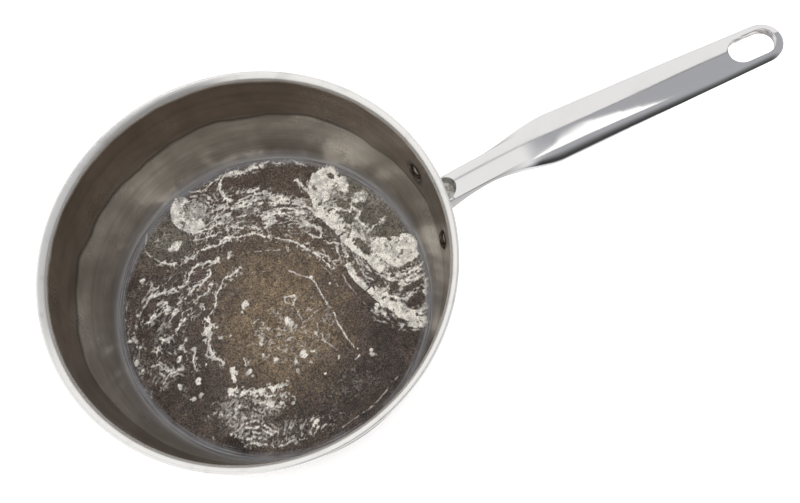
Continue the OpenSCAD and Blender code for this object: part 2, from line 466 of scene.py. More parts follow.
def rivetPlace(side):
    # where the rivet's axis meets the wall's inner face, and its angle round the pan
    reach = wallRadius(rivetHeight)
    angle = math.asin(rivet["spacing"] / 2 / reach) * side
    return Vector((reach * math.cos(angle), reach * math.sin(angle), rivetHeight)), angle


def makeRivet(side):
    reach = wallRadius(rivetHeight)
    head, high, steps = rivet["head"], rivet["dome"], rivet["domeSteps"]
    seat = math.sqrt(reach ** 2 - head ** 2) - reach
    domeRadius = (head ** 2 + high ** 2) / (2 * high)
    # the rivet is built standing on Z: the inner head below, the outer head above
    dome = []
    for i in range(steps + 1):
        across = head * math.sin(math.radians(90 * (i + 0.5) / (steps + 0.5)))
        dome.append((across, math.sqrt(domeRadius ** 2 - across ** 2) - domeRadius + high))
    rings = [(r, seat - h) for r, h in dome]
    rings += [(rivet["shank"], seat), (rivet["shank"], rivet["flange"])]
    rings += [(r, rivet["flange"] + h) for r, h in reversed(dome)]
    piece = turnRings(rings, rivet["segments"])
    bpy.ops.mesh.edge_face_add()
    faceOutwards()
    bevelSharp(40, rivet["soft"], 2)
    closeEdit()
    applyPlace()
    piece.location, angle = rivetPlace(side)
    piece.rotation_euler = (0, math.radians(90 + shell["lean"]), angle)
    applyPlace()
    return piece


handle = {
    "neckWidth": 14.8 * mm, "neckThick": 6.4 * mm, "neckLength": 25 * mm, "flare": 36 * mm,
    "gripWidth": 27.2 * mm, "gripThick": 6.6 * mm, "endWidth": 20.8 * mm, "endThick": 6.4 * mm,
    "neckDrop": 10.6 * mm, "neckSlope": 24, "gripSlope": 12, "bendStart": 28 * mm, "bend": 24 * mm,
    "arch": 1.3 * mm,                         # how far the grip's back rises over a straight line
    "sink": 0.02 * mm,                        # how far the back stays under the frame's top
    "neckCrown": 1.4 * mm, "gripCrown": 5.2 * mm, "endCrown": 3.2 * mm,
    "slotLength": 22.8 * mm, "bar": 3.6 * mm, "slotRound": 0.8 * mm,
    "rootLength": 26 * mm, "rootDepth": 15.9 * mm,
    "around": 144, "step": 0.8 * mm, "tipSteps": 16,
    "flangeThick": 3.4 * mm, "flangeGap": 0.03 * mm, "flangeRound": 1.1 * mm, "spare": 1 * mm,
    "lobe": 9 * mm, "saddle": 12 * mm,        # half height of the flange at its lobes and under the neck
    "pocketWidth": 12.4 * mm, "pocketReach": 9 * mm, "pocketDepth": 4.2 * mm, "pocketBack": 8 * mm,
}
handleStart = wallRadius(panHeight - handle["neckDrop"], shell["sheet"])
handleLength = handleEnd - handleStart
endRadius = handle["endWidth"] / 2
arcStart = handleLength - endRadius
gripStart = handle["neckLength"] + handle["flare"]
gripEnd = arcStart - handle["slotLength"]
flangeInside = shell["sheet"] + handle["flangeGap"]


def lerp(a, b, t):
    return a + (b - a) * t


def ease(t):
    t = min(max(t, 0), 1)
    return t * t * (3 - 2 * t)


def flared(s):
    return ease((s - handle["neckLength"]) / handle["flare"])


def halfWidth(s):
    if s > arcStart:
        return math.sqrt(max(endRadius ** 2 - (s - arcStart) ** 2, (0.1 * mm) ** 2))
    if s < gripStart:
        return lerp(handle["neckWidth"], handle["gripWidth"], flared(s)) / 2
    return lerp(handle["gripWidth"], handle["endWidth"], (s - gripStart) / (arcStart - gripStart)) / 2


def alongHandle(s, neck, grip, end):
    # a value that eases from the neck's to the grip's over the flare, and to the end's over the grip
    if s < gripStart:
        return lerp(neck, grip, flared(s))
    return lerp(grip, end, ease((s - gripStart) / (gripEnd - gripStart)))


def backLine(s):
    # height of the handle's back: the neck's slope eases into the grip's, with a low arch over the grip
    bend = handle["bend"]
    u = min(max((s - handle["bendStart"]) / bend, 0), 1)
    bent = bend * (u ** 3 - u ** 4 / 2) + max(s - handle["bendStart"] - bend, 0)
    neck, grip = math.tan(math.radians(handle["neckSlope"])), math.tan(math.radians(handle["gripSlope"]))
    start = panHeight - handle["neckDrop"] + handle["neckThick"] / 2 - handle["sink"]
    t = min(max((s - gripStart) / (gripEnd - gripStart), 0), 1)
    arch = handle["arch"] * (flared(s) if s < gripStart else 1 - t * t)
    return start + s * neck + bent * (grip - neck) + arch


def sectionPoint(s, angle):
    # one point of the bar's cross-section: a crowned back over a flat underside
    width = halfWidth(s)
    y = width * math.cos(angle)
    edge = min(1, math.hypot(max(s - arcStart, 0), y) / endRadius) if s > arcStart else abs(math.cos(angle))
    thick = alongHandle(s, handle["neckThick"], handle["gripThick"], handle["endThick"])
    crown = alongHandle(s, handle["neckCrown"], handle["gripCrown"], handle["endCrown"])
    hump = alongHandle(s, 0.25, 0.42, 0.30)        # share of the crown that is one even curve
    rim = alongHandle(s, 12, 6, 5)                 # the rest turns down near the edge
    box = alongHandle(s, 6, 6, 2.4)                # squareness of the underside
    side = backLine(s) - crown
    if math.sin(angle) >= 0:
        z = side + crown * (1 - hump * edge ** 2 - (1 - hump) * edge ** rim)
    else:
        low = thick - crown + handle["rootDepth"] * (1 - min(max(s, 0) / handle["rootLength"], 1)) ** 2
        z = side - low * max(1 - edge ** box, 0) ** (1 / box)
    return Vector((handleStart + s, y, z))


def makeBar():
    stations = [-3 * mm]                           # it starts inside the wall
    count = round(arcStart / handle["step"])
    stations += [arcStart * i / count for i in range(count)]
    tip = handle["tipSteps"]
    stations += [arcStart + endRadius * math.sin(math.radians(88.5 * i / tip)) for i in range(tip + 1)]
    deselectAll()
    bpy.ops.mesh.primitive_circle_add(vertices=handle["around"], radius=handle["neckWidth"] / 2,
                                      fill_type="NGON", location=(handleStart, 0, panHeight),
                                      rotation=(0, math.radians(90), 0))
    bar = bpy.context.object
    applyPlace()
    openEdit("VERT")
    for index, s in enumerate(stations):
        if index:
            bpy.ops.mesh.extrude_region_move(TRANSFORM_OT_translate={"value": (handle["step"], 0, 0)})
        edit = bmesh.from_edit_mesh(bar.data)
        ring = [v for v in edit.verts if v.select]
        centre = sum((v.co for v in ring), Vector()) / len(ring)
        ring.sort(key=lambda v: math.atan2(v.co.z - centre.z, v.co.y - centre.y))
        for i, v in enumerate(ring):
            v.co = sectionPoint(s, 2 * math.pi * (i + 0.5) / len(ring) - math.pi)
        bmesh.update_edit_mesh(bar.data)
    faceOutwards()
    closeEdit()
    return bar


def makeSlotCutter():
    # a round-ended plug that flares at both faces, so that the slot it cuts has rounded edges
    width = handle["endWidth"] - 2 * handle["bar"]
    run = handle["slotLength"] - width
    half, soft = handle["endThick"] / 2, handle["slotRound"]
    levels = [(-half - 2 * mm, soft + 1 * mm)]
    for i in range(9):
        a = math.radians(90 * i / 8)
        levels.append((-half + soft * (1 - math.cos(a)), soft * (1 - math.sin(a))))
    levels += [(-z, grow) for z, grow in reversed(levels)]
    cutter = turnRings([(width / 2 + grow, z) for z, grow in levels], 72)
    bpy.ops.mesh.edge_face_add()
    faceOutwards()
    closeEdit()
    applyPlace()
    for v in cutter.data.vertices:
        v.co.x += math.copysign(run / 2, v.co.x)
    slope = math.radians(handle["gripSlope"])
    centre = backLine(arcStart) - handle["endThick"] / 2
    cutter.rotation_euler = (0, -slope, 0)
    cutter.location = (handleStart + arcStart - run / 2, 0, centre - run / 2 * math.tan(slope))
    applyPlace()
    return cutter


def makeFlange():
    # a curved plate with a lobe for each rivet, bent round the wall
    lobe, thick = handle["lobe"], handle["flangeThick"]
    spare = handle["spare"]       # trimmed off with the bar, where both meet the wall
    outside = wallRadius(rivetHeight, flangeInside + thick)
    lobeY = outside * rivet["spacing"] / 2 / wallRadius(rivetHeight)
    deselectAll()
    bpy.ops.mesh.primitive_circle_add(vertices=120, radius=lobe, fill_type="NOTHING")
    plate = bpy.context.object
    openEdit()
    pullRings([(lobe * share, 0) for share in (1, 0.86, 0.7, 0.5, 0.3, 0.001)])
    closeEdit()
    # the disc of rings is drawn out sideways, and its middle closes to a line
    for v in plate.data.vertices:
        angle = math.atan2(v.co.y, v.co.x)
        share = math.hypot(v.co.x, v.co.y) / lobe
        v.co.x += lobeY * min(max(3 * math.cos(angle), -1), 1)
        bulge = math.exp(-(v.co.x / (9 * mm)) ** 2) * (handle["saddle"] - lobe)
        v.co.y += math.copysign(bulge * share, v.co.y)
    openEdit()
    bpy.ops.mesh.remove_doubles(threshold=0.05 * mm)
    bpy.ops.mesh.normals_make_consistent(inside=False)
    closeEdit()
    applyModifier(plate, "SOLIDIFY", thickness=thick + spare, offset=1)
    applyModifier(plate, "BEVEL", width=handle["flangeRound"], segments=3, limit_method="ANGLE",
                  angle_limit=math.radians(50))
    back = min(v.co.z for v in plate.data.vertices)
    for v in plate.data.vertices:
        across, up, out = v.co
        z = rivetHeight + up
        reach = wallRadius(z, flangeInside - spare) + out - back
        turn = across / outside
        v.co = (reach * math.cos(turn), reach * math.sin(turn), z)
    openEdit()
    faceOutwards()
    closeEdit()
    return plate


def makeWallCutter():
    # the wall's outer face as a solid cone, to trim the bar where it meets the pan
    deselectAll()
    low, high = 0.02, 0.12
    bpy.ops.mesh.primitive_cone_add(vertices=360, radius1=wallRadius(low, flangeInside),
                                    radius2=wallRadius(high, flangeInside), depth=high - low,
                                    location=(0, 0, (low + high) / 2))
    applyPlace()
    return bpy.context.object


def makePocketCutter():
    # a round-ended plug that opens towards the pan
    floor = backLine(0) - handle["pocketDepth"]
    radius = handle["pocketWidth"] / 2
    centre = handleStart + handle["pocketReach"] - radius
    high = 20 * mm
    deselectAll()
    bpy.ops.mesh.primitive_cylinder_add(vertices=64, radius=radius, depth=high,
                                        location=(centre, 0, floor + high / 2))
    cutter = bpy.context.object
    applyPlace()
    for v in cutter.data.vertices:
        if v.co.x < centre:
            v.co.x -= handle["pocketBack"]
    return cutter


def cut(target, tool, material=None, operation="DIFFERENCE"):
    if material:
        tool.data.materials.append(material)
    select(target)
    applyModifier(target, "BOOLEAN", operation=operation, object=tool, solver="EXACT",
                  material_mode="TRANSFER")
    bpy.data.objects.remove(tool)


def makeHandle(polished, rough, dull):
    bar = makeBar()
    bar.data.materials.append(polished)
    cut(bar, makeFlange(), polished, "UNION")
    cut(bar, makeWallCutter())
    cut(bar, makeSlotCutter(), dull)
    cut(bar, makePocketCutter(), rough)
    openEdit()
    bpy.ops.mesh.remove_doubles(threshold=0.01 * mm)
    closeEdit()
    return bar


film = {
    "cell": 0.57 * mm,
    "thick": 0.3 * mm,
    "climb": 47,                # degrees of the bend at the base that the film covers
    "ragged": 6,                # degrees by which that varies round the pan
    "relief": 0.05 * mm,        # blisters of the film
    "crust": 0.20 * mm,         # most height of the lime over the film
    "crustLeast": 0.12,         # share of that height at its thin edges
    "crustSheet": 0.12 * mm,    # thickness of the lime itself
    "crustFrom": 0.60,          # amount of lime at which it is a crust and no longer a stain
    "wander": 1.1,              # millimetres by which the runs of lime stray
    "fray": 0.6,
    "flakes": 0.75,             # share of the lime that has gone where flakes came off
}

# Runs of lime in millimetres from the pan's middle, with X towards the handle:
# width, amount, and the places that each run passes.
veins = [
    (1.3, 0.95, [(-57, 47), (-51, 44), (-45, 42), (-38, 44), (-31, 46), (-22, 45), (-17, 47), (-8, 46),
                (-2, 44)]),
    (0.8, 0.85, [(-2, 44), (6, 40), (14, 36), (23, 31), (29, 22), (34, 16), (38, 8)]),
    (1.2, 0.8, [(-34, 53), (-24, 53), (-13, 53), (-2, 51), (6, 45)]),
    (1.4, 0.95, [(-34, 58), (-22, 58), (-13, 61), (-5, 66), (1, 65), (7, 67), (15, 68), (20, 64),
                (26, 59), (32, 54)]),
    (1.4, 0.8, [(32, 54), (36, 50), (40, 45), (41, 40)]),
    (1.3, 0.85, [(-1, 76), (3, 73), (8, 71), (13, 72)]),
    (1.4, 0.9, [(-8, 86), (-10, 79), (-9, 74), (-6, 70)]),
    (1.1, 0.8, [(-68, 36), (-60, 32)]),
    (1.3, 0.85, [(-64, 29), (-54, 28), (-48, 28), (-43, 34), (-33, 37), (-24, 37)]),
    (1.0, 0.8, [(-50, 21), (-39, 26), (-33, 28), (-31, 32)]),
    (1.2, 0.85, [(-76, 15), (-66, 16), (-57, 17)]),
    (0.8, 0.75, [(-44, 16), (-36, 20), (-34, 24)]),
    (1.1, 0.85, [(-73, -3), (-65, 2), (-57, 5), (-50, 10)]),
    (1.0, 0.8, [(-73, -3), (-74, -8)]),
    (0.9, 0.85, [(-14, 27), (-26, 21), (-31, 16), (-33, 11), (-40, 4)]),
    (2.0, 1.0, [(-40, 4), (-42, -2), (-44, -9), (-45, -17), (-42, -22), (-40, -25)]),
    (1.7, 0.9, [(-36, -30), (-36, -37)]),
    (1.1, 0.75, [(-53, -12), (-55, -17), (-56, -22)]),
    (0.8, 0.6, [(-76, -27), (-71, -21), (-66, -20), (-60, -21)]),
    (0.8, 0.65, [(-79, -11), (-74, -14), (-69, -19)]),
    (1.5, 0.85, [(37, 70), (39, 62), (41, 57)]),
    (1.0, 0.8, [(44, 65), (42, 59)]),
    (1.1, 0.75, [(30, 57), (35, 53), (39, 48)]),
    (1.5, 0.8, [(31, 43), (34, 39), (38, 35), (40, 32), (38, 28)]),
    (0.9, 0.75, [(30, 35), (37, 28), (42, 22), (48, 18), (48, 12), (48, 6)]),
    (0.7, 0.7, [(30, 26), (33, 19), (38, 15), (39, 11), (45, 8), (47, 3)]),
    (0.6, 0.65, [(45, 20), (45, 8)]),
    (0.7, 0.7, [(52, 7), (54, 1), (56, -8)]),
    (1.7, 0.85, [(45, 47), (53, 42), (60, 37)]),
    (1.4, 0.8, [(63, 40), (65, 36), (62, 31), (66, 24)]),
    (1.1, 0.8, [(61, 34), (62, 30), (66, 24), (65, 20)]),
    (1.2, 0.7, [(66, 20), (72, 24), (77, 26)]),
    (0.8, 0.85, [(66, -8), (73, -12), (84, -12), (91, -9)]),
    (0.8, 0.8, [(67, -12), (76, -15), (87, -14)]),
    (1.3, 0.95, [(64, -8), (70, -15), (79, -18), (88, -17)]),
    (1.7, 0.8, [(63, -20), (67, -25), (75, -26), (82, -24)]),
    (1.7, 0.9, [(67, -34), (76, -37), (84, -35)]),
    (2.2, 0.8, [(83, -34), (84, -27), (89, -20)]),
    (3.1, 1.0, [(-41, -41), (-35, -45), (-23, -49), (-10, -50)]),
    (1.7, 0.8, [(-30, -48), (-26, -51), (-18, -54), (-12, -56)]),
    (1.7, 0.75, [(-24, -55), (-20, -59), (-15, -60)]),
    (1.0, 0.75, [(-19, 85), (-8, 88), (7, 88), (23, 87), (35, 83), (43, 78)]),
    (2.2, 0.85, [(-6, 87), (8, 87), (18, 86)]),
    (1.5, 0.7, [(-17, 72), (-19, 65)]),
    (0.8, 0.6, [(-32, -78), (-23, -81), (-12, -82)]),
]
threads = [
    (0.45, 0.75, [(-45, 84), (-57, 72), (-63, 62), (-63, 54), (-57, 47)]),
    (0.4, 0.8, [(13, 15), (20, 8), (25, 4), (26, -4), (30, -21), (30, -28), (34, -43)]),
    (0.4, 0.7, [(15, -26), (20, -35), (24, -41)]),
    (0.35, 0.6, [(10, -11), (11, -17)]),
    (0.35, 0.6, [(-2, 33), (6, 31), (14, 28)]),
    (0.4, 0.6, [(-8, 21), (-3, 20), (1, 20)]),
    (0.45, 0.7, [(-57, -63), (-55, -73), (-50, -79)]),
    (0.45, 0.7, [(43, 78), (48, 82), (54, 81)]),
    (0.4, 0.6, [(36, 20), (42, 2), (44, -8), (49, -22)]),
    (0.35, 0.55, [(32, 12), (37, 0), (38, -6)]),
    (0.4, 0.55, [(12, -84), (25, -81), (36, -77), (52, -68)]),
]
# Bright bands with one sharp side: width, amount, places.
bands = [
    (5.6, 1.0, [(48, 67), (43, 58), (41, 52), (41, 45), (43, 38), (46, 31), (49, 24)]),
    (4.4, 1.0, [(49, 24), (52, 15), (56, 9), (59, 3), (64, -7)]),
    (2.6, 0.8, [(46, 6), (48, -6), (52, -14)]),
    (4.6, 0.95, [(52, -14), (56, -22), (62, -30), (67, -37), (71, -42)]),
    (4.6, 1.0, [(66, 17), (65, 9), (68, 2), (72, -3), (78, -6)]),
    (6.0, 1.0, [(-36, 86), (-42, 78), (-43, 70), (-40, 63), (-34, 60), (-25, 60)]),
]
# Solid patches and thin veils as ovals: amount, X, Y, half width, half height, turn in degrees.
patches = [
    (1.0, 53, 63, 8, 11, -38), (1.0, 47, 58, 5, 7, -30), (0.9, 62, 56, 3.5, 6, 10),
    (0.75, 49, 50, 2.4, 2.4, 0), (0.7, 69, 44, 5, 4, 20), (0.85, 58, 22, 2.6, 2.8, 0),
    (0.75, 51, 40, 1.6, 1.6, 0), (1.0, 83, 3, 8, 10, 20), (0.95, 77, -2, 7, 5, -30),
    (0.9, 73, 9, 2.6, 6, -12), (1.0, 74, -42, 6, 4, -20), (0.85, 68, -34, 5, 4, -50),
    (0.75, 61, -24, 4, 5, 30), (0.8, -46, 54, 4, 3, 20), (0.85, -34, 62, 6, 4, -30),
    (0.5, -28, 70, 5, 6, 0), (0.9, 55, -27, 1.8, 3, 20), (0.7, 56, -31, 1.0, 2.5, -20),
]
veils = [
    (0.50, -30, 71, 11, 11, 0), (0.28, -52, 62, 10, 12, 0), (0.32, 0, 60, 42, 12, -12),
    (0.40, 34, 46, 10, 14, -30), (0.42, 60, 20, 9, 32, 18), (0.50, 56, 54, 12, 11, 0),
    (0.44, 72, -2, 12, 16, 10), (0.46, 68, -28, 12, 10, -35), (0.14, -60, 22, 20, 18, 0),
    (0.16, -66, -6, 16, 16, 0), (0.50, -36, -55, 26, 11, -15), (0.46, -42, -68, 12, 9, -35),
    (0.30, -20, -74, 22, 9, -8), (0.20, 2, -30, 34, 26, 0), (0.36, 76, 40, 8, 12, 30),
    (0.25, -20, 80, 20, 6, 0), (0.30, -84, 0, 4, 28, 0), (0.22, 25, -62, 30, 14, 10),
]
# Sets of curved stripes: amount, middle X and Y, spacing, inner and outer radius, start and end angle.
swirls = [
    (0.55, -27, 72, 2.6, 3, 13, -70, 120), (0.70, -38, -79, 2.7, 4, 17, 5, 175),
    (0.5, 82, 8, 2.8, 18, 30, 190, 330), (0.45, 84, -8, 3.4, 20, 40, 200, 300),
    (0.35, -70, -30, 3.0, 6, 14, 20, 170),
]
# Fields of thin lines that curve about a middle: amount, middle, gap and length of the lines,
# and the oval that they fill, with the radius there.
filaments = [
    (0.90, (-4, -14), 4.0, 17, (4, 58, 46, 15, -12, 72)),
    (0.88, (-10, -20), 3.2, 13, (24, 50, 26, 13, -30, 72)),
    (0.62, (-20, -60), 4.4, 14, (-60, 22, 22, 24, 20, 90)),
    (0.55, (-30, 10), 4.0, 9, (-66, -12, 15, 24, 0, 40)),
    (0.72, (96, 14), 3.2, 14, (62, 8, 14, 46, 22, 36)),
    (0.72, (84, 6), 2.8, 12, (72, -24, 17, 16, -35, 35)), (0.72, (62, 90), 3.2, 8, (57, 40, 14, 12, 0, 44)),
    (0.64, (-40, -86), 2.8, 9, (-34, -54, 27, 11, -15, 30)),
    (0.45, (-38, -80), 2.7, 24, (-44, -64, 14, 8, -35, 16)),
    (0.62, (-28, 71), 2.2, 9, (-30, 71, 13, 12, 0, 9)),
    (0.55, (10, -90), 3.0, 8, (-10, -76, 30, 8, -5, 20)), (0.42, (4, 0), 3.0, 7, (4, -22, 34, 26, 0, 20)),
    (0.50, (0, 0), 3.0, 14, (-84, 0, 6, 40, 0, 84)),
]
spots = [
    (-19, 4, 2.0), (-21, 1, 1.3), (4, -17, 2.0), (3, -14, 1.5), (-16, -21, 1.8), (-17, -28, 1.2),
    (-10, -34, 1.6), (-27, -35, 1.6), (-26, -39, 1.4), (0, -39, 2.0), (6, -37, 1.7), (10, -36, 1.0),
    (-55, -3, 1.2), (-59, -8, 2.0), (-54, -12, 2.2), (-63, -14, 1.4), (-86, -7, 2.2), (-84, -13, 0.9),
    (-87, 7, 1.4), (-82, 2, 1.0), (25, 5, 1.3), (-17, 37, 2.0), (-67, -29, 1.8), (-55, -30, 2.0),
    (-57, -38, 1.4), (-61, -39, 1.6), (36, -45, 0.8), (43, -51, 1.6), (44, -48, 1.0), (64, -41, 1.2),
    (-2, -76, 2.2), (0, -79, 1.4), (34, -3, 0.9), (-30, -12, 1.0), (-36, -9, 1.4), (-38, -3, 0.9),
    (-2, -46, 0.8), (8, -43, 0.9), (19, -31, 0.9), (17, -28, 0.8), (-49, -22, 0.8), (76, 25, 1.4),
    (60, 45, 1.2), (14, -51, 0.9), (24, -45, 0.8), (-78, 20, 1.2), (-70, 40, 1.5), (-62, 12, 1.2),
    (-57, 27, 1.3),
]
loops = [
    (-14, -11, 3.0), (17, 28, 1.6), (-42, 11, 1.5), (34, -49, 1.5), (-11, -56, 1.4), (-9, -60, 1.8),
    (-27, -29, 1.8), (76, 25, 1.8), (-1, -46, 1.2), (13, 50, 2.4), (22, 52, 2.2), (8, -3, 3.0),
    (6, 58, 1.8),
]
# Ovals that stay bare.
bare = [
    (-50, -72, 11, 6, -40), (79, -30, 5, 4, 0), (79, -21, 7, 2, 5), (69, -17, 3, 3, 0), (57, 64, 2, 3, 30),
    (58, 33, 3.5, 4, 0), (57, 44, 3, 3, 20), (60, 12, 2.5, 7, 15), (72, 30, 6, 7, 0), (61, -10, 2, 6, 25),
    (74, -31, 3, 2.5, 0),
]


def bumps(x, y, size, octaves=2, shift=0.0):
    # even noise from about -1 to 1, with bumps some size millimetres across
    places = zip(x / size + shift, y / size - shift)
    return np.array([noise.fractal((a, b, shift), 1.0, 2.0, octaves) for a, b in places]) * 1.6


def fade(value, start, end):
    t = np.clip((value - start) / (end - start), 0, 1)
    return t * t * (3 - 2 * t)


def smoothLine(points, steps=5):
    # a Catmull-Rom curve through the points
    p = [Vector(points[0])] + [Vector(q) for q in points] + [Vector(points[-1])]
    line = []
    for i in range(1, len(p) - 2):
        for k in range(steps):
            t = k / steps
            line.append(0.5 * (2 * p[i] + (p[i + 1] - p[i - 1]) * t
                               + (2 * p[i - 1] - 5 * p[i] + 4 * p[i + 1] - p[i + 2]) * t * t
                               + (3 * p[i] - p[i - 1] - 3 * p[i + 1] + p[i + 2]) * t ** 3))
    return line + [p[-1]]


def lineDistance(x, y, points, reach):
    # distance to the line, 1 on its left and -1 on its right, and the share of the way along it
    line = smoothLine(points)
    best = np.full(len(x), 1e3)
    side = np.zeros(len(x))
    along = np.zeros(len(x))
    for i, (a, b) in enumerate(zip(line, line[1:])):
        near = np.nonzero((x > min(a.x, b.x) - reach) & (x < max(a.x, b.x) + reach)
                          & (y > min(a.y, b.y) - reach) & (y < max(a.y, b.y) + reach))[0]
        way = b - a
        px, py = x[near] - a.x, y[near] - a.y
        t = np.clip((px * way.x + py * way.y) / way.length_squared, 0, 1)
        d = np.hypot(px - t * way.x, py - t * way.y)
        closer = d < best[near]
        found = near[closer]
        best[found] = d[closer]
        side[found] = np.sign(way.x * py - way.y * px)[closer]
        along[found] = (i + t[closer]) / (len(line) - 1)
    return best, side, along


def oval(x, y, middleX, middleY, halfWidth, halfHeight, turn):
    c, s = math.cos(math.radians(turn)), math.sin(math.radians(turn))
    dx, dy = x - middleX, y - middleY
    return np.hypot((dx * c + dy * s) / halfWidth, (dy * c - dx * s) / halfHeight)


def limeField(x, y):
    # amount of lime at each place, from 0 for bare film to 1 for thick crust
    stray = film["wander"]
    wx = x + stray * (bumps(x, y, 9, 2, 3.1) + 0.7 * bumps(x, y, 3.6, 2, 7.7))
    wy = y + stray * (bumps(x, y, 9, 2, 5.3) + 0.7 * bumps(x, y, 3.6, 2, 9.1))
    coarse = bumps(x, y, 6, 3, 1.7)
    fine = bumps(x, y, 1.6, 3, 2.9)
    lime = np.zeros(len(x))

    def lay(amount):
        np.maximum(lime, amount, out=lime)

    def part(share):
        # places that stray by a share of the full amount
        return x + share * (wx - x), y + share * (wy - y)

    def speckle(base, fineShare, coarseShare, most):
        return np.clip(base + fineShare * fine + coarseShare * coarse, 0, most)

    for amount, *place in veils:
        r = oval(wx, wy, *place)
        lay(amount * fade(r + 0.25 * coarse, 1.25, 0.3) * (0.75 + 0.5 * fine + 0.35 * coarse))
    for amount, mx, my, gap, inner, outer, start, end in swirls:
        px, py = part(0.6)
        dx, dy = px - mx, py - my
        r = np.hypot(dx, dy)
        turn = (np.degrees(np.arctan2(dy, dx)) - start) % 360
        inside = fade(r, inner - gap, inner) * fade(r, outer + gap, outer) * fade(turn, 0, 15)
        inside = inside * fade(turn, end - start, end - start - 25) * (turn < end - start)
        stripe = 0.5 + 0.5 * np.cos(2 * math.pi * r / gap + 2.2 * coarse)
        lay(amount * inside * stripe * (0.9 + 0.5 * fine + 0.4 * coarse))
    for amount, middle, gap, length, zone in filaments:
        # thin wandering lines that curve about a middle
        dx, dy = x - middle[0], y - middle[1]
        r = np.hypot(dx, dy) + 0.5 * (wx - x)
        around = np.arctan2(dy, dx) * zone[5]
        line = fade(np.abs(bumps(r / gap, around / length, 1, 2, amount)), 0.33, 0.05)
        mask = fade(oval(x, y, *zone[:5]) + 0.25 * coarse, 1.15, 0.55)
        lay(amount * mask * line * speckle(0.9, 0.3, 0.5, 1.15))
    branches = fade(np.abs(bumps(x, y, 4.6, 2, 41.0)), 0.24, 0.03)
    ragged = 1 + film["fray"] * fine + 0.4 * coarse
    for width, amount, points in veins:
        d = lineDistance(wx, wy, points, 6 + width)[0]
        lay(amount * fade(d, 0.62 * width * ragged + 0.35, 0.1 * width) * speckle(1.1, 0.4, 0.35, 1.15))
        lay(0.9 * amount * branches * fade(d, 5.5, 1.0) * speckle(0.85, 0.3, 0, 1))
    for width, amount, points in threads:
        d = lineDistance(*part(0.4), points, 3)[0]
        lay(amount * fade(d, width + 0.3, 0.1) * speckle(0.9, 0.4, 0.7, 1))
    for width, amount, points in bands:
        d, side, along = lineDistance(*part(0.3), points, 4 + 2 * width)
        # a band frays away on its left, and ends sharply on its right
        left = fade(d, width * (2.0 + 0.9 * fine + 0.7 * coarse), 0.5 * width)
        right = fade(d, 0.6 + 0.3 * fine, 0.0)
        body = np.where(side > 0, left, right) * speckle(1.2, 0.4, 0, 1.1)
        lay(amount * body * fade(along, 0, 0.04) * fade(along, 1.0, 0.95))
    for amount, *place in patches:
        r = oval(*part(0.8), *place)
        body = fade(r + 0.22 * coarse + 0.14 * fine, 1.08, 0.85)
        lay(amount * body * speckle(1.15, 0.35, 0.5, 1.1))
    for mx, my, r in spots:
        d = np.hypot(wx - mx, wy - my)
        lay(fade(d / r + 0.3 * coarse, 1.45, 0.4) * speckle(0.95, 0.5, 0, 1))
    for mx, my, r in loops:
        d = np.abs(np.hypot(wx - mx, wy - my) - r * (1 + 0.3 * coarse))
        lay(0.75 * fade(d, 0.9, 0.1) * speckle(0.8, 0.8, 0, 1))
    # flakes have come off the thick patches, and a few pockets stay bare
    lime *= 1 - film["flakes"] * fade(bumps(x, y, 3.2, 2, 12.4), 0.62, 0.9)
    for place in bare:
        lime *= 1 - 0.85 * fade(oval(x, y, *place) + 0.15 * fine, 1.15, 0.8)
    return np.clip(lime, 0, 1)


def filmReach(angle):
    # how far up the bend the film climbs, in degrees, at an angle round the pan
    spot = (2.2 * math.cos(angle), 2.2 * math.sin(angle), 4.0)
    return film["climb"] + film["ragged"] * noise.fractal(spot, 1.0, 2.0, 4)


bendInside = shell["corner"] - film["thick"]
bendCentre = shell["sheet"] + shell["corner"]


def readPlaces(data):
    places = np.empty(3 * len(data.vertices))
    data.vertices.foreach_get("co", places)
    return places, places[0::3].copy(), places[1::3].copy()


def filmRadius(angle):
    return plan["flat"] + bendInside * math.sin(math.radians(filmReach(angle)))


def makeFilmTop():
    # the film's upper face as a fine grid, cut to the pan's bend
    size = 2 * (plan["flat"] + bendInside)
    count = round(size / film["cell"])
    deselectAll()
    bpy.ops.mesh.primitive_grid_add(x_subdivisions=count, y_subdivisions=count, size=size,
                                    location=(0, 0, 0))
    skin = bpy.context.object
    data = skin.data
    places, x, y = readPlaces(data)
    editVertices(skin, np.hypot(x, y) > np.array([filmRadius(a) for a in np.arctan2(y, x)]))
    bpy.ops.mesh.delete(type="VERT")
    bpy.ops.mesh.select_all(action="SELECT")
    bpy.ops.mesh.region_to_loop()
    closeEdit()
    places, x, y = readPlaces(data)
    rim = np.zeros(len(x), dtype=bool)
    data.vertices.foreach_get("select", rim)
    for i in np.nonzero(rim)[0]:
        angle = math.atan2(y[i], x[i])
        radius = filmRadius(angle)
        x[i], y[i] = radius * math.cos(angle), radius * math.sin(angle)
    out = np.clip(np.hypot(x, y) - plan["flat"], 0, None)
    z = bendCentre - np.sqrt(bendInside ** 2 - out ** 2)
    lime = limeField(x / mm, y / mm)
    blister = bumps(x / mm, y / mm, 2.2, 3, 21.0) + 0.6 * bumps(x / mm, y / mm, 9, 2, 23.0)
    z += film["relief"] * np.where(rim | (out > 0), 0, 0.6 * blister + 0.8 * lime)
    places[0::3], places[1::3], places[2::3] = x, y, z
    data.vertices.foreach_set("co", places)
    amount = data.attributes.new("lime", "FLOAT", "POINT")
    amount.data.foreach_set("value", lime)
    data.update()
    return skin


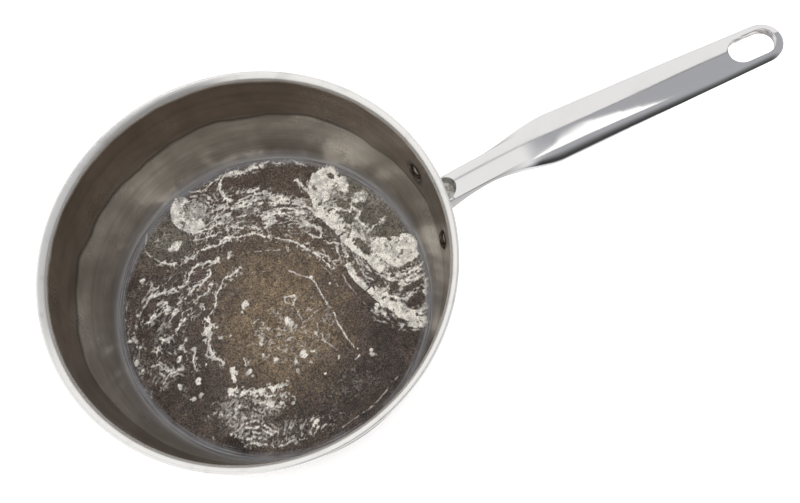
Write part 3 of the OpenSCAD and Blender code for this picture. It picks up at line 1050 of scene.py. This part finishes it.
def makeCrust(skin):
    # the thick lime: a copy of the film's upper face where there is enough of it, raised and made solid
    select(skin)
    bpy.ops.object.duplicate()
    crust = bpy.context.object
    data = crust.data
    lime = np.empty(len(data.vertices))
    data.attributes["lime"].data.foreach_get("value", lime)
    places, x, y = readPlaces(data)
    lumps = 0.75 + 0.25 * bumps(x / mm, y / mm, 1.3, 2, 31.0)
    places[2::3] += film["crust"] * (film["crustLeast"] + fade(lime, film["crustFrom"], 1.0) * lumps)
    data.vertices.foreach_set("co", places)
    editVertices(crust, lime < film["crustFrom"])
    bpy.ops.mesh.delete(type="VERT")
    for _ in range(5):        # crumbs that hang together at one point only
        bpy.ops.mesh.select_all(action="DESELECT")
        bpy.ops.mesh.select_non_manifold(extend=False, use_wire=True, use_boundary=False,
                                         use_multi_face=True, use_non_contiguous=False, use_verts=True)
        bpy.ops.mesh.delete(type="VERT")
    bpy.ops.mesh.select_all(action="SELECT")
    bpy.ops.mesh.delete_loose()
    closeEdit()
    applyModifier(crust, "SOLIDIFY", thickness=film["crustSheet"], offset=-1)
    return crust


def closeFilm(skin):
    # the film's edge thins out on the steel, and its underside follows the bend
    select(skin)
    openEdit("EDGE")
    bpy.ops.mesh.region_to_loop()
    for share in (1, 0.66, 0.33, 0):
        bpy.ops.mesh.extrude_region_move(TRANSFORM_OT_translate={"value": (0, 0, 0)})
        closeEdit()
        for v in [v for v in skin.data.vertices if v.select]:
            angle = math.atan2(v.co.y, v.co.x)
            climb = math.radians(filmReach(angle) * share)
            radius = plan["flat"] + shell["corner"] * math.sin(climb)
            height = bendCentre - shell["corner"] * math.cos(climb)
            v.co = (radius * math.cos(angle), radius * math.sin(angle), height)
        bpy.ops.object.mode_set(mode="EDIT")
    bpy.ops.mesh.edge_face_add()
    faceOutwards()
    closeEdit()
    return skin


# A spread says where a stain shows: its size, the amounts of noise between which it fades in,
# and how it is squeezed along X, Y and Z.
limeFinish = {
    "pale": (0.96, 0.91, 0.83, 1),
    "grey": (0.56, 0.54, 0.50, 1),
    "pore": (0.20, 0.18, 0.16, 1),
    "thin": (0.36, 0.34, 0.31, 1),             # its edges, where the film shows through
    "sand": [(0.3, (0.78, 0.77, 0.75)), (0.6, (1.05, 1.05, 1.05))],
    "grain": 1300.0,
    "rough": 0.85,
}


def newGroup(name, inputs, outputs):
    group = bpy.data.node_groups.new(name, "ShaderNodeTree")
    for way, sockets in (("INPUT", inputs), ("OUTPUT", outputs)):
        for label, kind in sockets.items():
            group.interface.new_socket(name=label, in_out=way, socket_type="NodeSocket" + kind)
    return group, Tree(group), group.nodes.new("NodeGroupInput").outputs, group.nodes.new("NodeGroupOutput")


def makeStains():
    # soft-edged patches and streaks: the vector's scale draws them out
    inputs = {"Vector": "Vector", "Size": "Float", "Low": "Float", "High": "Float"}
    group, t, given, out = newGroup("stains", inputs, {"Mask": "Float"})
    cloud = t.noise(given["Vector"], given["Size"], 5.0, 0.6, 0.4)
    t.put(out, "Mask", t.smooth(cloud, given["Low"], given["High"]))
    return group


def makeGrain():
    # sandy texture with stray pale specks
    group, t, given, out = newGroup("grain", {"Vector": "Vector", "Size": "Float"},
                                    {"Sand": "Float", "Specks": "Float"})
    dots = t.noise(given["Vector"], t.mul(given["Size"], 1.7), 1.0)
    where = t.noise(given["Vector"], t.mul(given["Size"], 0.12), 2.0)
    t.put(out, "Sand", t.noise(given["Vector"], given["Size"], 3.0, 0.65))
    t.put(out, "Specks", t.smooth(t.add(dots, t.mul(where, 0.25)), 0.78, 0.86))
    return group


def makeBrushing():
    # fine lines left by spinning: long across the stretched vector's short axes
    group, t, given, out = newGroup("brushing", {"Vector": "Vector", "Stretch": "Vector"},
                                    {"Lines": "Float", "Bands": "Float"})
    fine = t.vector("MULTIPLY", given["Vector"], given["Stretch"])
    t.put(out, "Lines", t.noise(fine, 1.0, 4.0, 0.6))
    t.put(out, "Bands", t.noise(fine, 0.13, 3.0, 0.5))
    return group


def makeLimeColor():
    # mottled scale: chalky white going to grey where it is thin
    group, t, given, out = newGroup("limeColor", {"Vector": "Vector", "Pale": "Color", "Grey": "Color"},
                                    {"Color": "Color", "Height": "Float"})
    patch = t.noise(given["Vector"], 260.0, 4.0, 0.6)
    pores = t.noise(given["Vector"], 1500.0, 3.0, 0.6)
    tone = t.mix(t.smooth(patch, 0.38, 0.60), given["Grey"], given["Pale"])
    t.put(out, "Color", t.cover(tone, t.smooth(pores, 0.50, 0.30), limeFinish["pore"]))
    t.put(out, "Height", t.add(t.mul(patch, 0.5), pores))
    return group


stains, grain, brushing, limeColor = makeStains(), makeGrain(), makeBrushing(), makeLimeColor()


class Finish(Tree):
    # a material with the object's own coordinates, and the effects that materials share
    def __init__(self, name):
        self.material = newMaterial(name)
        super().__init__(self.material.node_tree)
        self.spot = self.node("TexCoord").outputs["Object"]
        self.x, self.y, self.z = self.node("SeparateXYZ", Vector=self.spot).outputs

    def stain(self, size, low, high, stretch=None):
        vector = self.vector("MULTIPLY", self.spot, stretch) if stretch else self.spot
        return self.group(stains, Vector=vector, Size=size, Low=low, High=high)["Mask"]

    def brushed(self, stretch, vector=None):
        return self.group(brushing, Vector=vector or self.spot, Stretch=stretch)

    def area(self, sway, middle, half, soft):
        # 1 inside an oval with a wandering edge
        dx = self.math("DIVIDE", self.sub(self.x, middle[0] * mm), half[0] * mm)
        dy = self.math("DIVIDE", self.sub(self.y, middle[1] * mm), half[1] * mm)
        return self.smooth(self.add(self.length(dx, dy), sway), 1 + soft, 1 - soft)

    def lime(self):
        # amount of lime here, and its colour and height
        amount = self.node("Attribute")
        amount.attribute_name = "lime"
        chalk = self.group(limeColor, Vector=self.spot, Pale=limeFinish["pale"], Grey=limeFinish["grey"])
        return amount.outputs["Fac"], chalk["Color"], chalk["Height"]

    def surface(self, tone, height, bumpiness, depth, specular=0.5, **sockets):
        bump = self.node("Bump", Strength=bumpiness, Distance=depth, Height=height)
        shader = self.node("BsdfPrincipled", Normal=bump.outputs[0], **sockets)
        self.put(shader, "Base Color", tone)
        self.put(shader, "Specular IOR Level", specular)
        self.node("OutputMaterial", Surface=shader.outputs[0])
        return self.material


# An area is a colour, its middle and half sizes in millimetres, softness of its edge, and share.
filmFinish = {
    "brown": (0.074, 0.058, 0.049, 1),
    "olive": (0.130, 0.098, 0.068, 1),
    "plum": (0.038, 0.029, 0.025, 1),
    "cloud": (0.075, 0.056, 0.054, 1),
    "paintedGlint": (0.30, 0.235, 0.125, 1),
    "grey": (0.105, 0.095, 0.082, 1),
    "bare": (0.020, 0.014, 0.012, 1),
    "speck": (0.36, 0.33, 0.28, 1),
    "steel": [(0.3, (0.13, 0.125, 0.125)), (0.7, (0.36, 0.36, 0.38))],
    "mottle": [(0.25, (0.50, 0.48, 0.46)), (0.5, (1, 1, 1)), (0.75, (1.6, 1.56, 1.45))],
    "sand": [(0.33, (0.25, 0.25, 0.26)), (0.67, (2.15, 2.1, 2.0))],
    "areas": [
        ("plum", (30, -58), (58, 50), 0.5, 1.0),
        ("plum", (20, 76), (46, 16), 0.3, 0.15),
        ("plum", (-74, -26), (28, 56), 0.5, 0.75),
        ("grey", (-48, 64), (24, 18), 0.5, 1.0),
        ("grey", (74, 38), (24, 44), 0.5, 1.0),
    ],
    "middle": ((3, -10), (36, 42), 0.5),       # where the olive brown and the painted gold glints are
    "pocket": ((-48, -73), (15, 9), 0.4),      # nearly black
    "cloudSpread": (60.0, 0.50, 0.66),
    "paintedGlintSpread": (420.0, 0.56, 0.68),
    "grain": 1050.0,
    "limeFrom": 0.10,                          # amounts of lime between which it covers the film
    "limeFull": 0.82,
    "rough": 0.42,
}


def makeFilmSkin():
    t = Finish("burntSkin")
    cloud = t.sway(1.4, t.spot, 45.0, 4.0, 0.6)
    tone = filmFinish["brown"]
    for color, middle, half, soft, share in filmFinish["areas"]:
        tone = t.cover(tone, t.area(cloud, middle, half, soft), filmFinish[color], share)
    centre = t.area(cloud, *filmFinish["middle"])
    tone = t.cover(tone, centre, filmFinish["olive"])
    # plum-brown clouds over all of it, painted gold glints in the middle, and a nearly black pocket
    tone = t.cover(tone, t.stain(*filmFinish["cloudSpread"]), filmFinish["cloud"], 0.5)
    tone = t.cover(tone, t.mul(t.stain(*filmFinish["paintedGlintSpread"]), centre), filmFinish["paintedGlint"], 0.6)
    tone = t.cover(tone, t.area(cloud, *filmFinish["pocket"]), filmFinish["bare"])
    mottle = t.noise(t.spot, 230.0, 5.0, 0.65)
    tone = t.shade(tone, t.ramp(mottle, filmFinish["mottle"]))
    grains = t.group(grain, Vector=t.spot, Size=filmFinish["grain"])
    sand = grains["Sand"]
    tone = t.shade(tone, t.ramp(sand, filmFinish["sand"]))
    tone = t.cover(tone, grains["Specks"], filmFinish["speck"], 0.5)
    lime, limeTone = t.lime()[:2]
    grainy = t.add(lime, t.mul(t.sub(sand, 0.5), 0.5))
    cover = t.smooth(grainy, filmFinish["limeFrom"], filmFinish["limeFull"])
    tone = t.cover(tone, cover, limeTone)
    # towards the bend the film thins to stained steel with fine rings
    reach = t.length(t.x, t.y)
    rings = t.brushed((1800.0, 25.0, 25.0), t.node("CombineXYZ", X=reach, Y=t.x, Z=t.y).outputs[0])["Lines"]
    strayed = t.add(reach, t.mul(t.add(cloud, t.sub(rings, 0.5)), 5 * mm))
    worn = t.smooth(strayed, plan["flat"] - 1.5 * mm, plan["flat"] + 4.0 * mm)
    bareSteel = t.mul(worn, t.sub(1.0, t.mul(cover, 0.5)))
    tone = t.cover(tone, bareSteel, t.ramp(rings, filmFinish["steel"]))
    rough = t.add(t.add(filmFinish["rough"], t.mul(cover, 0.4)), t.mul(t.sub(mottle, 0.5), 0.3))
    height = t.add(t.mul(sand, 0.6), t.add(mottle, t.mul(cover, 0.5)))
    return t.surface(tone, height, 0.5, 0.12 * mm, specular=0.35, Roughness=rough, Metallic=t.mul(worn, 0.6))


def makeLimeWhite():
    t = Finish("limeChalk")
    lime, tone, height = t.lime()
    sand = t.group(grain, Vector=t.spot, Size=limeFinish["grain"])["Sand"]
    thin = t.smooth(t.add(lime, t.mul(sand, 0.4)), 1.0, 0.72)
    tone = t.cover(tone, thin, limeFinish["thin"], 0.7)
    tone = t.shade(tone, t.ramp(sand, limeFinish["sand"]))
    return t.surface(tone, height, 0.6, 0.12 * mm, specular=0.3, Roughness=limeFinish["rough"])


panFinish = {
    "wall": (0.60, 0.565, 0.515, 1),           # smoked steel inside the pan
    "wallDark": (0.40, 0.362, 0.318, 1),
    "darkSpread": (22.0, 0.35, 0.68, (1.0, 1.0, 1.6)),
    "runSpread": (160.0, 0.50, 0.66, (1.0, 1.0, 0.12)),
    "wallRough": 0.27,
    "paintedReflectionLine": 51 * mm,                           # height of a painted reflection: the wavy dark line that stands in for the burnt base seen in the wall
    "paintedReflectionWave": 0.5,                           # how far it swings up and down round the pan
    "paintedReflectionDrift": 22 * mm,
    "paintedReflectionWidth": 2.8 * mm,
    "paintedReflectionColor": (0.07, 0.055, 0.045, 1),
    "smokeAndReflectionShade": (0.44, 0.385, 0.345, 1),          # painted reflection: multiplies the colour above the dark line
    "soot": (0.62, 0.59, 0.54, 1),             # multiplies it in clouds
    "sootSpread": (24.0, 0.40, 0.66, (1.0, 1.0, 2.2)),
    "rivetRingDark": (0.045, 0.035, 0.03, 1),     # darker ring round the rivet heads
    "ring": (0.62, 0.62, 0.64, 1),             # cleaner steel in the bend at the base
    "rim": (0.86, 0.85, 0.83, 1),
    "rimDull": (0.52, 0.50, 0.48, 1),
    "dullSpread": (70.0, 0.52, 0.68),
    "rimRough": 0.24,
    "outer": (0.54, 0.53, 0.52, 1),
    "outerStain": (0.30, 0.25, 0.21, 1),
    "outerSpread": (35.0, 0.5, 0.72),
    "outerRough": 0.32,
    "heat": (0.52, 0.40, 0.26, 1),             # straw tint that the flame leaves low down outside
    "heatTop": 30 * mm,
    "bands": [(0.3, (0.86, 0.86, 0.86)), (0.7, (1.10, 1.10, 1.10))],
}


def makePanSteel():
    t = Finish("panSteel")
    x, y, z = t.x, t.y, t.z
    reach = t.length(x, y)
    # inside, outside and rim, told apart by place
    slope = math.tan(lean)
    wall = t.add(t.mul(z, slope), shell["inner"] - plan["lipStart"] * slope + shell["sheet"] / 2)
    inside = t.math("LESS_THAN", reach, wall)
    inside = t.mul(inside, t.math("GREATER_THAN", z, shell["sheet"] / 2))
    sway = t.sway(3 * mm, t.spot, 60.0)
    strayed = t.add(z, sway)
    rim = t.smooth(strayed, plan["lipStart"] - 1.5 * mm, plan["lipStart"] + 1 * mm)
    # smoky inner wall: cloudy stains and runs
    smokeAndReflectionShade = t.stain(*panFinish["darkSpread"])
    tone = t.cover(panFinish["wall"], smokeAndReflectionShade, panFinish["wallDark"], 0.75)
    tone = t.cover(tone, t.stain(*panFinish["runSpread"]), panFinish["wallDark"], 0.22)
    # painted reflection of the burnt base: a wavy dark line, with a darker band above it
    wave = t.mul(t.sub(t.mul(x, x), t.mul(y, y)), panFinish["paintedReflectionWave"])
    drift = t.sway(panFinish["paintedReflectionDrift"], t.spot, 16.0, 3.0, 0.55)
    paintedReflectionLine = t.sub(t.sub(t.sub(z, panFinish["paintedReflectionLine"]), wave), drift)
    tone = t.cover(tone, t.smooth(paintedReflectionLine, -1.5 * mm, 3.5 * mm), t.shade(tone, panFinish["smokeAndReflectionShade"]))
    tone = t.cover(tone, t.stain(*panFinish["sootSpread"]), t.shade(tone, panFinish["soot"]), 0.45)
    offReflectionLine = t.math("DIVIDE", t.math("ABSOLUTE", paintedReflectionLine), panFinish["paintedReflectionWidth"])
    tone = t.cover(tone, t.math("SUBTRACT", 1.0, offReflectionLine, clamp=True), panFinish["paintedReflectionColor"], 0.9)
    # a darker ring on the wall round each rivet head
    for side in (1, -1):
        away = t.add(t.vector("DISTANCE", t.spot, rivetPlace(side)[0]), sway)
        darkRing = t.smooth(away, rivet["head"] + 3.5 * mm, rivet["head"] + 0.3 * mm)
        tone = t.cover(tone, darkRing, panFinish["rivetRingDark"], 0.9)
    low = t.smooth(strayed, 13 * mm, 5 * mm)
    tone = t.cover(tone, low, panFinish["ring"], 0.6)
    brushed = t.brushed((30.0, 30.0, 2600.0))
    tone = t.shade(tone, t.ramp(brushed["Bands"], panFinish["bands"]))
    # brushed outside with heat tint low down
    heat = t.smooth(t.add(z, t.mul(sway, 3.0)), panFinish["heatTop"], 0.0)
    outerTone = t.cover(panFinish["outer"], heat, panFinish["heat"], 0.7)
    outerTone = t.cover(outerTone, t.stain(*panFinish["outerSpread"]), panFinish["outerStain"], 0.35)
    tone = t.mix(inside, outerTone, tone)
    rimTone = t.cover(panFinish["rim"], t.stain(*panFinish["dullSpread"]), panFinish["rimDull"], 0.35)
    tone = t.cover(tone, rim, rimTone)
    rough = t.add(t.add(panFinish["wallRough"], t.mul(smokeAndReflectionShade, 0.05)), t.mul(low, 0.12))
    rough = t.mix(inside, (panFinish["outerRough"],) * 3 + (1,), rough)
    rough = t.mix(rim, rough, (panFinish["rimRough"],) * 3 + (1,))
    # rings under the base, and lines round the wall
    radial = t.node("CombineXYZ", X=t.mul(reach, 60.0), Y=x, Z=y).outputs[0]
    under = t.brushed((40.0, 30.0, 30.0), radial)["Lines"]
    flat = t.math("LESS_THAN", z, 1.0 * mm)
    grooves = t.add(t.mul(brushed["Lines"], t.sub(1.0, flat)), t.mul(under, flat))
    metal = t.sub(1.0, t.mul(t.math("MAXIMUM", inside, rim), 0.3))
    return t.surface(tone, grooves, 0.12, 0.05 * mm, Roughness=rough, Metallic=metal)


handleFinish = {
    "color": (0.82, 0.82, 0.83, 1),
    "smear": (0.66, 0.64, 0.62, 1),
    "smearSpread": (55.0, 0.45, 0.70),
    "grimeAndShade": (0.16, 0.13, 0.115, 1),
    "edge": (0.20, 0.19, 0.18, 1),
    "shadedSideY": (6.7 * mm, 7.3 * mm),             # painted shade darkens the neck's side faces from here out
    "shadedSideX": (148 * mm, 130 * mm),             # and as far as here
    "polish": 0.075,
    "slotPolish": 0.25,
    # how much grime and painted shade darken the slot's walls
    "slotGrimeAndShade": 0.85,
    "cast": (0.62, 0.61, 0.58, 1),             # the unpolished pocket
    "castDirt": (0.30, 0.28, 0.25, 1),
    "castSpread": (300.0, 0.42, 0.62),
}


def makeHandleSteel(name, grimeAndShadeShare, polish):
    t = Finish(name)
    smear = t.stain(*handleFinish["smearSpread"])
    tone = t.cover(handleFinish["color"], smear, handleFinish["smear"], 0.12)
    # grime and painted shade: a dark mottling that, on the slot's walls, stands in for their shade
    grimeAndShade = t.stain(210.0, 0.62 - 0.4 * grimeAndShadeShare, 0.9 - 0.4 * grimeAndShadeShare, (1.0, 1.0, 3.0))
    tone = t.cover(tone, grimeAndShade, handleFinish["grimeAndShade"], grimeAndShadeShare)
    # painted shade: the neck's side faces are darkened
    edge = t.smooth(t.math("ABSOLUTE", t.y), *handleFinish["shadedSideY"])
    tone = t.cover(tone, t.mul(edge, t.smooth(t.x, *handleFinish["shadedSideX"])), handleFinish["edge"], 0.6)
    rough = t.add(polish, t.mul(smear, 0.035))
    hair = t.brushed((60.0, 1500.0, 1500.0))["Lines"]
    return t.surface(tone, hair, 0.03, 0.02 * mm, Metallic=1.0, Roughness=rough)


def makeCastRough():
    t = Finish("castRough")
    tone = t.cover(handleFinish["cast"], t.stain(*handleFinish["castSpread"]), handleFinish["castDirt"])
    pits = t.noise(t.spot, 900.0, 4.0, 0.6)
    return t.surface(tone, pits, 0.5, 0.15 * mm, Metallic=0.3, Roughness=0.6)


rivetFinish = {
    "color": (0.34, 0.30, 0.26, 1),
    "soot": (0.06, 0.048, 0.04, 1),
    "sootSpread": (240.0, 0.38, 0.62),
    "rough": 0.10,
}


def makeRivetSteel():
    t = Finish("rivetSteel")
    soot = t.stain(*rivetFinish["sootSpread"])
    tone = t.cover(rivetFinish["color"], soot, rivetFinish["soot"])
    rough = t.add(rivetFinish["rough"], t.mul(soot, 0.16))
    return t.surface(tone, t.noise(t.spot, 1400.0), 0.15, 0.05 * mm, Metallic=1.0, Roughness=rough)


panSteel, castRough = makePanSteel(), makeCastRough()
handleSteel = makeHandleSteel("handleSteel", 0.0, handleFinish["polish"])
slotSteel = makeHandleSteel("slotSteel", handleFinish["slotGrimeAndShade"], handleFinish["slotPolish"])
rivetSteel, filmSkin, limeWhite = makeRivetSteel(), makeFilmSkin(), makeLimeWhite()
print("finishes ready")

finishPiece(makeShell(), "panShell", "pan_body", [panSteel], smoothAngle=50)
print("shell ready")
finishPiece(makeRivet(1), "leftRivet", "rivet_left", [rivetSteel], smoothAngle=50)
finishPiece(makeRivet(-1), "rightRivet", "rivet_right", [rivetSteel], smoothAngle=50)
print("rivets ready")
stick = makeHandle(handleSteel, castRough, slotSteel)
finishPiece(stick, "stickHandle", "handle", smoothAngle=35)
print("handle ready")
filmTop = makeFilmTop()
print("film ready")
limeCrust = makeCrust(filmTop)
print("crust ready")
finishPiece(closeFilm(filmTop), "burntFilm", "burnt_film", [filmSkin])
finishPiece(limeCrust, "limeCrust", "lime_scale", [limeWhite], smoothAngle=60)

bpy.context.scene.view_settings.view_transform = "Standard"
